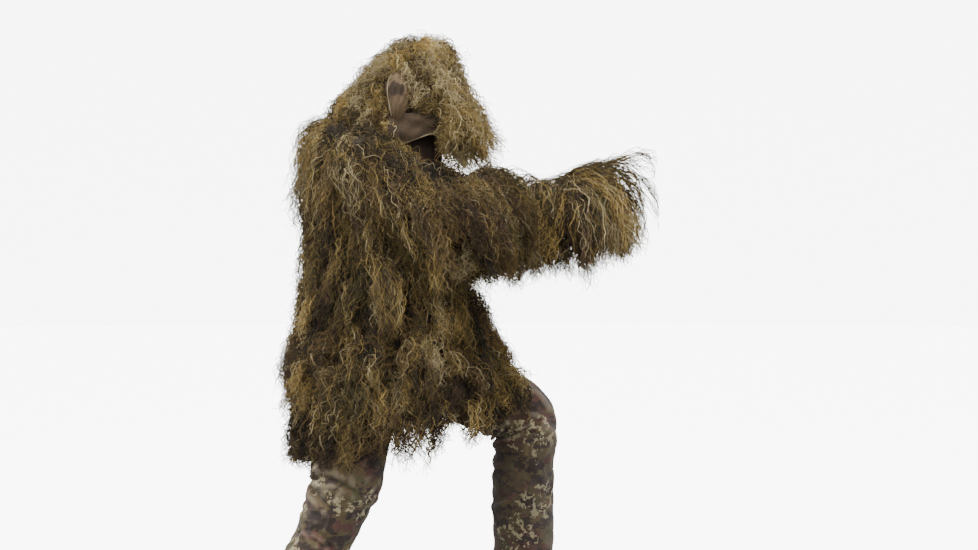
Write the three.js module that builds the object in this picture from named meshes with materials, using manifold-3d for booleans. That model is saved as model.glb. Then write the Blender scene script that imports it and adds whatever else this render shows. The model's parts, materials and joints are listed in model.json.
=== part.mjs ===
// A worn ghillie suit: a hooded jacket covered in yarn over a pair of plain camouflage trousers.
// It is shaped by a wearer who leans into a shooting stance and is not part of the model.
// Millimetres. +X is the way the wearer faces, +Y is the wearer's left, +Z is up, and the origin is
// the base of the neck, where the suit hangs on the wearer.
import * as THREE from "three";
import { mergeVertices } from "three/addons/utils/BufferGeometryUtils.js";
import Module from "manifold-3d";

const wasm = await Module();
wasm.setup();

const CLOTH = 3; // thickness of a cloth wall
const GAP = 4; // between pieces that lie on each other
const SWING_GAP = 7; // round a piece that turns inside another
const YARN = { torso: 52, hood: 38, sleeve: 30 }; // how far the yarn stands off the cloth
const SLEEVE_DROP = 105; // how much further the yarn hangs below a sleeve
const SKIRT_DROP = 105; // how far the lowest yarn hangs below the hem
const TORSO_SIDES = 24; // facets round the torso
const LIMB_SIDES = 12;
const SWEEP_STEPS = 6; // poses joined to cut the room that a turning piece needs
const UP = new THREE.Vector3(0, 0, 1);
const SIDE = new THREE.Vector3(0, 1, 0);
const rad = THREE.MathUtils.degToRad;
const at = (x, y, z) => new THREE.Vector3(x, y, z);

// The wearer's joints, which place every limb.
const ARM_R = { shoulder: at(-40, -190, -45), elbow: at(227, -300, -229), wrist: at(318, -94, -130) };
const ARM_L = { shoulder: at(45, 190, -50), elbow: at(330, 122, -228), wrist: at(618, 22, -115) };
const LEG_R = { hip: at(-36, -105, -613), knee: at(-98, -172, -985), ankle: at(-272, -190, -1355) };
const LEG_L = { hip: at(-8, 105, -625), knee: at(430, 166, -815), ankle: at(416, 174, -1275) };
const NECK_HINGE = at(-95, 0, 60);

// Rings from the neck down, as centre x, centre z, half depth, half width and forward tilt in degrees.
const TORSO = [
  [-85, 50, 80, 115, 25],
  [-82, 25, 118, 172, 22],
  [-72, -25, 142, 205, 16],
  [-55, -110, 160, 216, 8],
  [-20, -300, 182, 222, 0],
  [0, -450, 215, 232, 0],
  [22, -600, 258, 255, 0],
  [50, -715, 290, 272, -6],
  [60, -800, 300, 280, -11],
  [62, -800 - SKIRT_DROP, 306, 286, -11],
];
const HEM = 8; // the ring at the hem, past which only yarn hangs
// Rings from the neck seam to the crown.
const HOOD = [
  [-40, 58, 116, 124, 25],
  [60, 112, 186, 130, 16],
  [62, 162, 160, 124, 13],
  [80, 215, 125, 105, 9],
  [108, 262, 84, 74, 5],
  [124, 290, 44, 40, 0],
  [127, 300, 16, 15, 0],
];
const COLLAR = [
  [-78, 56, 74, 92, 25],
  [-20, 118, 72, 84, 25],
];
const SEAT = [
  [-20, -436, 140, 170, 0],
  [-22, -520, 160, 190, 0],
  [-22, -620, 165, 203, 0],
  [-22, -700, 130, 188, 0],
  [-22, -735, 60, 120, 0],
];
// The zip runs straight down the chest between these two points.
const ZIP = { top: at(103, 0, -132), bottom: at(215, 0, -450) };
const ZIP_GAP = 3.2; // degrees either side of the middle that the front panels leave for the zip

// ---- solids ----

// One closed surface from rows of points: the outer rows out, then the inner rows back. Each row
// runs round a ring, and is closed on itself if around is true.
function wallSolid(outer, inner, around) {
  const rows = outer.length;
  const count = outer[0].length;
  const points = [...outer.flat(), ...inner.flat()];
  const faces = [];
  const outside = (i, j) => i * count + (j % count);
  const inside = (i, j) => rows * count + outside(i, j);
  const quad = (a, b, c, d) => faces.push(a, b, c, a, c, d);
  const last = around ? count : count - 1;
  for (let j = 0; j < last; j++) {
    for (let i = 0; i < rows - 1; i++) {
      quad(outside(i, j), outside(i, j + 1), outside(i + 1, j + 1), outside(i + 1, j));
      quad(inside(i, j), inside(i + 1, j), inside(i + 1, j + 1), inside(i, j + 1));
    }
    quad(outside(0, j), inside(0, j), inside(0, j + 1), outside(0, j + 1));
    const end = rows - 1;
    quad(outside(end, j), outside(end, j + 1), inside(end, j + 1), inside(end, j));
  }
  if (!around) {
    for (let i = 0; i < rows - 1; i++) {
      quad(outside(i, 0), outside(i + 1, 0), inside(i + 1, 0), inside(i, 0));
      quad(outside(i, last), inside(i, last), inside(i + 1, last), outside(i + 1, last));
    }
  }
  return facesToSolid(points, faces);
}

// A filled loft with a fan of faces over each end.
function filledSolid(rows) {
  const count = rows[0].length;
  const points = rows.flat();
  const faces = [];
  for (let i = 0; i < rows.length - 1; i++) {
    for (let j = 0; j < count; j++) {
      const [a, b] = [i * count + j, i * count + ((j + 1) % count)];
      faces.push(a, b, b + count, a, b + count, a + count);
    }
  }
  const centre = (row) => row.reduce((sum, p) => sum.add(p), at(0, 0, 0)).divideScalar(count);
  const [first, end] = [points.length, points.length + 1];
  points.push(centre(rows[0]), centre(rows[rows.length - 1]));
  const start = (rows.length - 1) * count;
  for (let j = 0; j < count; j++) {
    faces.push(first, (j + 1) % count, j);
    faces.push(end, start + j, start + ((j + 1) % count));
  }
  return facesToSolid(points, faces);
}

function facesToSolid(points, faces) {
  const geometry = new THREE.BufferGeometry().setFromPoints(points);
  geometry.setIndex(faces);
  return toSolid(geometry);
}

// A manifold-3d solid from a closed geometry, turned so that its faces point out.
function toSolid(source) {
  const plain = new THREE.BufferGeometry();
  plain.setAttribute("position", source.getAttribute("position"));
  plain.setIndex(source.index);
  const merged = mergeVertices(plain, 1e-3);
  const position = merged.getAttribute("position");
  const corners = Uint32Array.from(merged.index.array);
  const corner = (k) => at(0, 0, 0).fromBufferAttribute(position, corners[k]);
  let volume = 0;
  for (let k = 0; k < corners.length; k += 3) {
    volume += corner(k).dot(corner(k + 1).cross(corner(k + 2)));
  }
  if (volume < 0) {
    for (let k = 0; k < corners.length; k += 3) {
      [corners[k + 1], corners[k + 2]] = [corners[k + 2], corners[k + 1]];
    }
  }
  const vertices = Float32Array.from(position.array);
  return new wasm.Manifold(new wasm.Mesh({ numProp: 3, vertProperties: vertices, triVerts: corners }));
}

// The largest piece left by a cut.
function largest(solid) {
  return solid.decompose().reduce((a, b) => (a.volume() > b.volume() ? a : b));
}

function toGeometry(solid) {
  const mesh = solid.getMesh();
  const position = new Float32Array(mesh.numVert * 3);
  for (let i = 0; i < mesh.numVert; i++) {
    position.set(mesh.vertProperties.subarray(i * mesh.numProp, i * mesh.numProp + 3), i * 3);
  }
  const geometry = new THREE.BufferGeometry();
  geometry.setAttribute("position", new THREE.BufferAttribute(position, 3));
  geometry.setIndex(new THREE.BufferAttribute(mesh.triVerts, 1));
  geometry.computeVertexNormals();
  return geometry;
}

function boxSolid(size, centre, turnY = 0) {
  const geometry = new THREE.BoxGeometry(size.x, size.y, size.z);
  geometry.rotateY(turnY);
  geometry.translate(centre.x, centre.y, centre.z);
  return toSolid(geometry);
}

// ---- rings ----

// A level or tilted ring of a table such as TORSO, at any place between its rows.
function tableRing(table, t) {
  const low = Math.min(Math.floor(t), table.length - 2);
  const mix = table[low].map((v, k) => v + (table[low + 1][k] - v) * (t - low));
  const [x, z, depth, width, tilt] = mix;
  const across = at(Math.cos(rad(tilt)), 0, -Math.sin(rad(tilt)));
  return { at: at(x, 0, z), across, up: SIDE.clone(), depth, width };
}

// A round ring square to the line from start to end.
function limbRing(start, end, t, radius) {
  const axis = end.clone().sub(start).normalize();
  const across = SIDE.clone().cross(axis).normalize();
  const up = axis.clone().cross(across);
  return { at: start.clone().lerp(end, t), across, up, depth: radius, width: radius };
}

// Points of a ring from one angle to another. offset is a number, or a function of the direction.
function ringPoints(ring, offset, from, to, count) {
  const points = [];
  const closed = Math.abs(to - from - 2 * Math.PI) < 1e-6;
  for (let j = 0; j < count; j++) {
    const angle = from + ((to - from) * j) / (closed ? count : count - 1);
    const [c, s] = [Math.cos(angle), Math.sin(angle)];
    const way = ring.across.clone().multiplyScalar(c).addScaledVector(ring.up, s);
    const reach = typeof offset === "function" ? offset(way) : offset;
    const point = ring.at.clone().addScaledVector(ring.across, (ring.depth + reach) * c);
    points.push(point.addScaledVector(ring.up, (ring.width + reach) * s));
  }
  return points;
}

// Points of a ring at both ends of an arc in degrees, and at each corner of the torso between them.
// Walls over one another bend at the same corners, so their facets stay parallel.
function arcPoints(ring, offset, fromAngle, toAngle) {
  const step = 360 / TORSO_SIDES;
  const angles = [fromAngle];
  for (let a = Math.ceil((fromAngle + 1) / step) * step; a < toAngle - 1; a += step) angles.push(a);
  angles.push(toAngle);
  return angles.map((a) => ringPoints(ring, offset, rad(a), rad(a), 2)[0]);
}

const fullRing = (ring, offset, sides) => ringPoints(ring, offset, 0, 2 * Math.PI, sides);

function tube(rings, inner, outer, sides) {
  return wallSolid(
    rings.map((r) => fullRing(r, outer, sides)),
    rings.map((r) => fullRing(r, inner, sides)),
    true,
  );
}

const rod = (rings, outer, sides) => filledSolid(rings.map((r) => fullRing(r, outer, sides)));

// Part of the torso's wall, between two rings and two angles in degrees from straight ahead.
function torsoWall(fromRing, toRing, fromAngle, toAngle, inner, outer) {
  const steps = Math.max(1, Math.round(toRing - fromRing));
  const rings = Array.from({ length: steps + 1 }, (_, i) =>
    tableRing(TORSO, fromRing + ((toRing - fromRing) * i) / steps),
  );
  const row = (ring, offset) => arcPoints(ring, offset, fromAngle, toAngle);
  return wallSolid(
    rings.map((r) => row(r, outer)),
    rings.map((r) => row(r, inner)),
    false,
  );
}

// ---- turning pieces ----

function turned(solid, pivot, axis, degrees) {
  const matrix = new THREE.Matrix4().makeTranslation(pivot.x, pivot.y, pivot.z);
  matrix.multiply(new THREE.Matrix4().makeRotationAxis(axis, rad(degrees)));
  matrix.multiply(new THREE.Matrix4().makeTranslation(-pivot.x, -pivot.y, -pivot.z));
  return solid.transform(matrix.elements);
}

// All the room that a solid takes as it turns.
function sweep(solid, pivot, axis, [low, high]) {
  let swept = solid;
  for (let k = 0; k <= SWEEP_STEPS; k++) {
    swept = swept.add(turned(solid, pivot, axis, low + ((high - low) * k) / SWEEP_STEPS));
  }
  return swept;
}

const RANGE = {
  hood: [0, 30],
  shoulder: [-12, 12],
  elbow: [-15, 10],
  hip: [-8, 8],
  knee: [-15, 15],
};

// ---- limbs ----

// The solid inside a limb's rings, grown by offset and past both ends, as room for it to turn in.
function roomFor(rings, offset) {
  const end = (ring, next) => {
    const out = ring.at.clone().sub(next.at).setLength(SWING_GAP);
    return { ...ring, at: ring.at.clone().add(out) };
  };
  const n = rings.length;
  const longer = [end(rings[0], rings[1]), ...rings, end(rings[n - 1], rings[n - 2])];
  return rod(longer, offset, LIMB_SIDES);
}

const SLEEVE_RADII = { top: 96, elbow: 84, below: 80, wrist: 56 };
const THIGH_RADII = { top: 112, knee: 98 };
const SHIN_RADII = { right: [97, 68], left: [99, 92] };

function limb(start, end, [first, last], [fromT, toT], rows = 4) {
  return Array.from({ length: rows }, (_, i) => {
    const t = fromT + ((toT - fromT) * i) / (rows - 1);
    return limbRing(start, end, t, first + (last - first) * t);
  });
}

// Yarn stands evenly off a sleeve and hangs further below it.
const hangs = (extra) => (way) => YARN.sleeve + extra + SLEEVE_DROP * Math.max(0, -way.dot(UP)) ** 2;

function arm(joints, yarnEnd) {
  const { shoulder, elbow, wrist } = joints;
  const upper = limb(shoulder, elbow, [SLEEVE_RADII.top, SLEEVE_RADII.elbow], [0.1, 0.97]);
  const fore = limb(elbow, wrist, [SLEEVE_RADII.below, SLEEVE_RADII.wrist], [0.02, 0.96]);
  const past = limb(elbow, wrist, [SLEEVE_RADII.wrist, SLEEVE_RADII.wrist], [0.99, yarnEnd], 3);
  const yarn = [...fore, ...past];
  const cuff = limb(elbow, wrist, [48, 46], [0.975, 1.14], 2);
  const bend = elbow.clone().sub(shoulder).cross(wrist.clone().sub(elbow)).normalize();
  return { upper, fore, yarn, cuff, bend, joints };
}

// What is left of a sleeve's piece outside the torso.
const torsoCore = rod([0, 2, 3, 4, 5].map((t) => tableRing(TORSO, t)), -30, TORSO_SIDES);
const outside = (solid) => largest(solid.subtract(torsoCore));

function armSolids({ upper, fore, yarn, cuff, bend, joints }) {
  const whole = roomFor(yarn, hangs(SWING_GAP));
  const forearmRoom = sweep(whole, joints.elbow, bend, RANGE.elbow);
  const upperYarn = tube(upper, GAP, hangs(0), LIMB_SIDES).subtract(forearmRoom);
  return {
    sleeve_upper: outside(tube(upper, -CLOTH, 0, LIMB_SIDES).subtract(forearmRoom)),
    yarn_upper: outside(upperYarn),
    sleeve_fore: tube(fore, -CLOTH, 0, LIMB_SIDES),
    yarn_fore: tube(yarn, GAP, hangs(0), LIMB_SIDES),
    cuff: tube(cuff, -CLOTH - 1, 0, LIMB_SIDES),
  };
}

function leg({ hip, knee, ankle }, radii) {
  const thigh = limb(hip, knee, [THIGH_RADII.top, THIGH_RADII.knee], [0.06, 0.97]);
  const shin = limb(knee, ankle, radii, [0.03, 0.955]);
  const hem = limb(knee, ankle, radii, [0.962, 1], 2);
  return { thigh, shin, hem, hip, knee };
}

function legSolids({ thigh, shin, hem, knee }) {
  const shinRoom = sweep(roomFor(shin, SWING_GAP), knee, SIDE, RANGE.knee);
  return {
    thigh: largest(tube(thigh, -CLOTH, 0, LIMB_SIDES).subtract(shinRoom)),
    shin: tube(shin, -CLOTH, 0, LIMB_SIDES),
    hem: tube(hem, -CLOTH, 0, LIMB_SIDES),
  };
}

// ---- zip ----

const zipWay = ZIP.bottom.clone().sub(ZIP.top).normalize();
const zipOut = SIDE.clone().cross(zipWay).negate().normalize();
if (zipOut.x < 0) zipOut.negate();
const zipLength = ZIP.bottom.distanceTo(ZIP.top);
const ZIP_TILT = Math.atan2(zipWay.x, -zipWay.z);

// A box set along the zip: along is measured down from its top, out is off the chest.
function zipBox(along, length, side, width, out, thick) {
  const centre = ZIP.top.clone().addScaledVector(zipWay, along + length / 2);
  centre.addScaledVector(zipOut, out + thick / 2).add(at(0, side, 0));
  return boxSolid(at(thick, width, length), centre, -ZIP_TILT);
}

const TEETH = { pitch: 18, length: 11, width: 2.2, proud: 1.1, thick: 2.4 };

// One side's chain: a bar with teeth that stand off its outer face.
function zipChain(sign) {
  const side = sign * (0.9 + TEETH.width / 2);
  let chain = zipBox(0, zipLength, side, TEETH.width, 0, TEETH.thick);
  for (let along = TEETH.pitch / 2; along < zipLength - TEETH.length; along += TEETH.pitch) {
    const tooth = zipBox(along, TEETH.length, side, TEETH.width, TEETH.thick - 0.2, TEETH.proud);
    chain = chain.add(tooth);
  }
  return chain;
}

const SLIDER = { along: 6, length: 20, width: 13, plate: 1.6 };
const SLIDER_TOP = TEETH.thick + TEETH.proud + 0.4 + SLIDER.plate; // its outer face, off the tape
const ARCH = { length: 12, width: 4, height: 6.6, hole: 7, under: 4.4 };
const ARCH_ALONG = SLIDER.along + 4;
// The pull's cross bar turns in the hole of the arch.
const PULL = { along: ARCH_ALONG + ARCH.length / 2, out: SLIDER_TOP + 2.2, bar: 1.1, length: 36 };

function zipSlider() {
  const { along, length, width, plate } = SLIDER;
  const outer = zipBox(along, length, 0, width, SLIDER_TOP - plate, plate);
  const back = zipBox(along, length, 0, width, -plate - 0.6, plate);
  const post = zipBox(along, 5, 0, 0.9, -plate, SLIDER_TOP + plate / 2);
  const arch = zipBox(ARCH_ALONG, ARCH.length, 0, ARCH.width, SLIDER_TOP - 0.1, ARCH.height + 0.1);
  const holeAlong = ARCH_ALONG + (ARCH.length - ARCH.hole) / 2;
  const hole = zipBox(holeAlong, ARCH.hole, 0, ARCH.width + 2, SLIDER_TOP, ARCH.under);
  return outer.add(back).add(post).add(arch).subtract(hole);
}

function zipPull() {
  const { along, out, bar, length } = PULL;
  const plate = zipBox(along - bar, length, 0, 10, out - 0.8, 1.6);
  return plate
    .subtract(zipBox(along + bar, 8, 0, ARCH.width + 1.4, out - 2, 4))
    .subtract(zipBox(along + length - 9, 5, 0, 4.5, out - 2, 4));
}

// ---- the suit ----

const suit = new THREE.Group();
suit.name = "ghillie_suit";

const COLOURS = {
  cloth: [0x4b3f2c, 0.95, 0],
  yarn: [0x7a6534, 1, 0],
  camo: [0x5a4a36, 0.92, 0],
  lining: [0x2e241c, 0.95, 0],
  zip: [0x2b2a26, 0.5, 0.6],
  button: [0x39332a, 0.6, 0],
};

function place(name, solid, finish) {
  const [color, roughness, metalness] = COLOURS[finish];
  const material = new THREE.MeshStandardMaterial({ color, roughness, metalness });
  const mesh = new THREE.Mesh(toGeometry(solid), material);
  mesh.name = name;
  suit.add(mesh);
}

const arms = { right: arm(ARM_R, 1.02), left: arm(ARM_L, 1.36) };
const legs = { right: leg(LEG_R, SHIN_RADII.right), left: leg(LEG_L, SHIN_RADII.left) };

// Room that the torso's pieces leave for the sleeves, the thighs and the hood as they turn.
function armRoom({ upper, yarn, bend, joints }) {
  const loose = roomFor(yarn, hangs(2 * SWING_GAP));
  const forearm = sweep(loose, joints.elbow, bend, RANGE.elbow);
  const whole = roomFor(upper, hangs(SWING_GAP)).add(forearm);
  return sweep(whole, joints.shoulder, SIDE, RANGE.shoulder);
}

function legRoom({ thigh, shin, hip, knee }) {
  const lower = sweep(roomFor(shin, SWING_GAP), knee, SIDE, RANGE.knee);
  return sweep(roomFor(thigh, SWING_GAP).add(lower), hip, SIDE, RANGE.hip);
}

const HOOD_SIDES = 16;
const hoodRings = HOOD.map((_, i) => tableRing(HOOD, i));
// The hood tips back about -Y, so its turn about +Y is negative.
// The yarn stands off the sides of the hood, and off its crown by as much.
const last = hoodRings.length - 1;
const hoodOutside = rod(
  hoodRings.map((r, i) => ({ ...r, at: r.at.clone().addScaledVector(UP, YARN.hood * (i / last) ** 2) })),
  YARN.hood,
  HOOD_SIDES,
);
const hoodRoom = sweep(
  rod(hoodRings, YARN.hood + SWING_GAP, HOOD_SIDES),
  NECK_HINGE,
  SIDE,
  RANGE.hood.map((v) => -v),
);
const limbRoom = armRoom(arms.right)
  .add(armRoom(arms.left))
  .add(legRoom(legs.right))
  .add(legRoom(legs.left));
const torsoRoom = limbRoom.add(hoodRoom);

const PANELS = {
  front_panel_left: [ZIP_GAP, 84],
  front_panel_right: [-84, -ZIP_GAP],
  back_panel: [84.6, 275.4],
};
for (const [name, [from, to]] of Object.entries(PANELS)) {
  place(name, largest(torsoWall(0, HEM, from, to, -CLOTH, 0).subtract(torsoRoom)), "cloth");
}

// Each tier of yarn is sewn on in three lengths, which meet at the zip and the side seams.
const TIERS = { yoke: [1, 3], chest: [3.02, 5], waist: [5.02, 7], skirt: [7.02, 9] };
const LENGTHS = { front_left: [9, 88], back: [89, 271], front_right: [272, 351] };
for (const [tier, [fromRing, toRing]] of Object.entries(TIERS)) {
  for (const [length, [from, to]] of Object.entries(LENGTHS)) {
    const whole = torsoWall(fromRing, toRing, from, to, GAP, YARN.torso);
    const solid = largest(whole.subtract(torsoRoom));
    place(`yarn_${tier}_${length}`, solid, "yarn");
  }
}

const loopRings = [0.15, 0.8].map((t) => tableRing(COLLAR, t));
const loopRow = (offset) => loopRings.map((r) => ringPoints(r, offset, rad(172), rad(188), 4));
place("hanger_loop", wallSolid(loopRow(1 + CLOTH), loopRow(1), false), "lining");
place("collar", tube(COLLAR.map((_, i) => tableRing(COLLAR, i)), -CLOTH, 0, HOOD_SIDES), "lining");

// The hood: a closed crown, cut away underneath in front of the neck for the face.
const faceCut = boxSolid(at(420, 420, 200), at(290, 0, -16), rad(16));
const inHood = rod(hoodRings, -CLOTH, HOOD_SIDES);
const dropped = inHood.translate(0, 0, -CLOTH);
const hoodShell = rod(hoodRings, 0, HOOD_SIDES).subtract(inHood).subtract(dropped).subtract(faceCut);
place("hood_shell", largest(hoodShell), "cloth");
const hoodYarn = hoodOutside
  .subtract(rod(hoodRings, GAP, HOOD_SIDES))
  .subtract(rod(hoodRings, GAP, HOOD_SIDES).translate(0, 0, -GAP))
  .subtract(faceCut);
const LARGE = 800;
const half = LARGE / 2;
const crownZ = 205;
const browX = 95;
const HOOD_PARTS = {
  hood_yarn_crown: [at(0, 0, crownZ + half)],
  hood_yarn_brow: [at(browX + half, 0, crownZ - half - 1)],
  hood_yarn_left: [at(browX - half - 1, half + 0.5, crownZ - half - 1)],
  hood_yarn_right: [at(browX - half - 1, -half - 0.5, crownZ - half - 1)],
};
for (const [name, [centre]] of Object.entries(HOOD_PARTS)) {
  const part = hoodYarn.intersect(boxSolid(at(LARGE, LARGE, LARGE), centre));
  place(name, largest(part.subtract(limbRoom)), "yarn");
}

// A bare oval of cloth over the right ear, proud of the yarn round it.
const PATCH = { low: 0.7, high: 2.75, x: 54, half: 35, rows: 9, thick: 3 };
function earPatch() {
  const off = YARN.hood + GAP;
  const rows = Array.from({ length: PATCH.rows }, (_, i) => {
    const along = (i + 0.5) / PATCH.rows;
    const half = PATCH.half * Math.sqrt(1 - (2 * along - 1) ** 2);
    const ring = tableRing(HOOD, PATCH.low + (PATCH.high - PATCH.low) * along);
    const angle = (x) => -Math.acos((x - ring.at.x) / (ring.depth + off));
    return { ring, from: angle(PATCH.x - half), to: angle(PATCH.x + half) };
  });
  const wall = (offset) => rows.map(({ ring, from, to }) => ringPoints(ring, offset, from, to, 5));
  return wallSolid(wall(off + PATCH.thick), wall(off), false);
}
place("hood_ear_patch", earPatch(), "cloth");

for (const [side, parts] of Object.entries(arms)) {
  for (const [name, solid] of Object.entries(armSolids(parts))) {
    place(`${name}_${side}`, solid, name.startsWith("yarn") ? "yarn" : "cloth");
  }
}
for (const [side, parts] of Object.entries(legs)) {
  for (const [name, solid] of Object.entries(legSolids(parts))) {
    place(`${name}_${side}`, solid, "camo");
  }
}

// The trousers' seat is a basin with a hole for each thigh.
const seatRings = SEAT.map((_, i) => tableRing(SEAT, i));
const seatInside = rod(seatRings, -CLOTH, HOOD_SIDES);
const seat = rod(seatRings, 0, HOOD_SIDES)
  .subtract(seatInside)
  .subtract(seatInside.translate(0, 0, CLOTH));
place("seat_panel", largest(seat.subtract(limbRoom)), "camo");
const WAIST = { low: -430, high: -392, x: -20, loops: [40, 110, 180, 250, 320] };
const waistRing = (z) => ({ ...tableRing(SEAT, 0), at: at(WAIST.x, 0, z) });
const band = tube([waistRing(WAIST.low), waistRing(WAIST.high)], -CLOTH - 1, 0, HOOD_SIDES);
place("waistband", band, "camo");
for (const [k, angle] of WAIST.loops.entries()) {
  const rings = [waistRing(WAIST.low + 2), waistRing(WAIST.high - 2)];
  const row = (offset) => rings.map((r) => ringPoints(r, offset, rad(angle - 3), rad(angle + 3), 2));
  place(`belt_loop_${k + 1}`, wallSolid(row(CLOTH + 1), row(1), false), "camo");
}
const button = new THREE.CylinderGeometry(8.5, 8.5, 3, 16);
button.rotateZ(Math.PI / 2);
button.translate(WAIST.x + SEAT[0][2] + 2, 0, (WAIST.low + WAIST.high) / 2);
place("waist_button", toSolid(button), "button");

place("zip_chain_left", zipChain(1), "zip");
place("zip_chain_right", zipChain(-1), "zip");
place("zip_tape_left", zipBox(0, zipLength, 7.4, 7.6, 0.2, 1.2), "lining");
place("zip_tape_right", zipBox(0, zipLength, -7.4, 7.6, 0.2, 1.2), "lining");
place("zip_box", zipBox(zipLength + 1, 10, 0, 9, -0.5, 5), "zip");
place("zip_slider", zipSlider(), "zip");
place("zip_pull", zipPull(), "zip");

export default suit;
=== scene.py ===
"""A worn ghillie suit: a hooded jacket covered in hanging yarn, over camouflage trousers.

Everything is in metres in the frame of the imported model: +X is the way the wearer faces, +Y the
wearer's left, +Z up, and the origin is the base of the neck.
"""

import json
import math

import bpy
import numpy as np
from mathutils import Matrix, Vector


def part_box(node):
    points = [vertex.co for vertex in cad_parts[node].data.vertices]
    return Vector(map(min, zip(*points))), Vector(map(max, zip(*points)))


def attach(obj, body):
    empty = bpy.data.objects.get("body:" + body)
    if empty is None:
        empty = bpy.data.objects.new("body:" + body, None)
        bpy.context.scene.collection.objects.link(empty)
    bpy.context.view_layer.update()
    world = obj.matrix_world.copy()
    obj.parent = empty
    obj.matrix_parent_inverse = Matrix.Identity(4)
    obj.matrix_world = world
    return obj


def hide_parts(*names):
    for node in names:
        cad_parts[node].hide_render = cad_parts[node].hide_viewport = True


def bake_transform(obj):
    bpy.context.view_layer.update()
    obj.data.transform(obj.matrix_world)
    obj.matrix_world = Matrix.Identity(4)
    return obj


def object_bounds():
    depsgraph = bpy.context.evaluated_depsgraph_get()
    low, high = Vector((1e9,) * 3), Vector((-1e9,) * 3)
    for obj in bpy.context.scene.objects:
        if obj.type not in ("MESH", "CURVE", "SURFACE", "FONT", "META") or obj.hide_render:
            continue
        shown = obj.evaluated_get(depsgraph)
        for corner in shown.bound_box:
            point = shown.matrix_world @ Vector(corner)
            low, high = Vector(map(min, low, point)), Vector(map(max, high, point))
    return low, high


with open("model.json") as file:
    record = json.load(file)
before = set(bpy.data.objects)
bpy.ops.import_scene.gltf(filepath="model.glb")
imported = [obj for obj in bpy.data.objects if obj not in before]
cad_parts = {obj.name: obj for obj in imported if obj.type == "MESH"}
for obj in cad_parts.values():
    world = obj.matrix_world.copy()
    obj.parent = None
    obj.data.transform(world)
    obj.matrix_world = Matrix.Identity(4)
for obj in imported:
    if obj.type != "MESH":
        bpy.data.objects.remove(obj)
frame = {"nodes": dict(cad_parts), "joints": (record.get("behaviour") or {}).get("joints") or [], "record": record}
CAD_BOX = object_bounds()
JOINTS = {j["name"]: j for j in frame["joints"]}
SLOTS = {p["node"]: p["material_slot"] for p in frame["record"]["subparts"]}
DOWN = np.array([0.0, 0.0, -1.0])
SIDES = ("right", "left")
TAU = 2 * math.pi


# ------ small maths


def unit(v):
    return v / np.maximum(np.linalg.norm(v, axis=-1, keepdims=True), 1e-9)


def smooth(x, low, high):
    t = np.clip((x - low) / (high - low), 0, 1)
    return t * t * (3 - 2 * t)


def bump(x, middle, width):
    return np.exp(-(((x - middle) / width) ** 2))


def waves(u, v, count, seed, low=1.0, high=4.0):
    """A smooth random surface over u (once round, 0 to 1) and v (0 to 1), from about -1 to 1."""
    r = np.random.default_rng(seed)
    total = np.zeros(np.broadcast(u, v).shape)
    for _ in range(count):
        around = r.integers(-math.ceil(high), math.ceil(high) + 1)
        along = r.uniform(low, high)
        total = total + np.sin(TAU * (around * u + along * v) + r.uniform(0, TAU))
    return total / math.sqrt(count)


def patches(p, size, seed):
    """A smooth random value from about -1 to 1 at each of the points, with patches of a size."""
    r = np.random.default_rng(seed)
    way = unit(r.normal(0, 1, (12, 3))) * r.uniform(0.6, 1.5, (12, 1)) * TAU / size
    return np.sin(p @ way.T + r.uniform(0, TAU, 12)).sum(-1) / math.sqrt(6)


def spline_weights(controls, points):
    """How much each control counts at each point of an even, smooth curve."""
    at = np.linspace(0, controls - 3, points)[:, None]
    x = np.abs(at - (np.arange(controls) - 1)[None, :])
    near = 2 / 3 - x**2 + x**3 / 2
    return np.where(x < 1, near, np.where(x < 2, (2 - x) ** 3 / 6, 0))


def run(line):
    """How far along a line of points each of them is."""
    return np.concatenate([[0], np.cumsum(np.linalg.norm(np.diff(line, axis=0), axis=1))])


def centre(node):
    low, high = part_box(node)
    return np.array((low + high) / 2)


def pivot(joint):
    return np.array(JOINTS[joint]["pos_m"], float)


# ------ the shapes the cloth lies on


class Rings:
    """A loft of tilted elliptic rings, as rows of centre x, centre z, half depth, half width, tilt."""

    def __init__(self, rows):
        self.rows = np.array(rows, float)
        self.last = len(rows) - 1
        self.sign = np.sign(self.rows[-1, 1] - self.rows[0, 1])

    def at(self, t):
        low = np.clip(np.floor(t).astype(int), 0, self.last - 1)
        part = (t - low)[..., None]
        x, z, depth, width, tilt = np.moveaxis(
            self.rows[low] * (1 - part) + self.rows[low + 1] * part, -1, 0
        )
        return x, z, depth, width, np.radians(tilt)

    def points(self, t, angle, off=0.0):
        x, z, depth, width, tilt = self.at(t)
        ahead = (depth + off) * np.cos(angle)
        across = (width + off) * np.sin(angle)
        return np.stack([x + ahead * np.cos(tilt), across, z - ahead * np.sin(tilt)], -1)

    def normals(self, t, angle):
        e = 0.01
        around = self.points(t, angle + e) - self.points(t, angle - e)
        high, low = np.clip(t + e, 0, self.last), np.clip(t - e, 0, self.last)
        return unit(np.cross(around, self.points(high, angle) - self.points(low, angle))) * self.sign

    def push(self, p, clear):
        """p, with what lies within clear of the shape moved out to there."""
        z_at = self.rows[:, 1] * self.sign
        level = p[..., 2].copy()
        for _ in range(3):
            t = np.interp(level * self.sign, z_at, np.arange(self.last + 1))
            x, z, depth, width, tilt = self.at(t)
            level = z + (p[..., 0] - x) * np.sin(tilt) + (p[..., 2] - z) * np.cos(tilt)
        u = (p[..., 0] - x) * np.cos(tilt) - (p[..., 2] - z) * np.sin(tilt)
        share = np.sqrt((u / (depth + clear)) ** 2 + (p[..., 1] / (width + clear)) ** 2)
        on = (share < 1) & (t > 0.001) & (t < self.last - 0.001)
        grow = np.where(on, 1 / np.maximum(share, 0.05), 1.0) - 1
        out = p.copy()
        out[..., 0] += u * grow * np.cos(tilt)
        out[..., 1] += p[..., 1] * grow
        out[..., 2] -= u * grow * np.sin(tilt)
        return out


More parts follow.
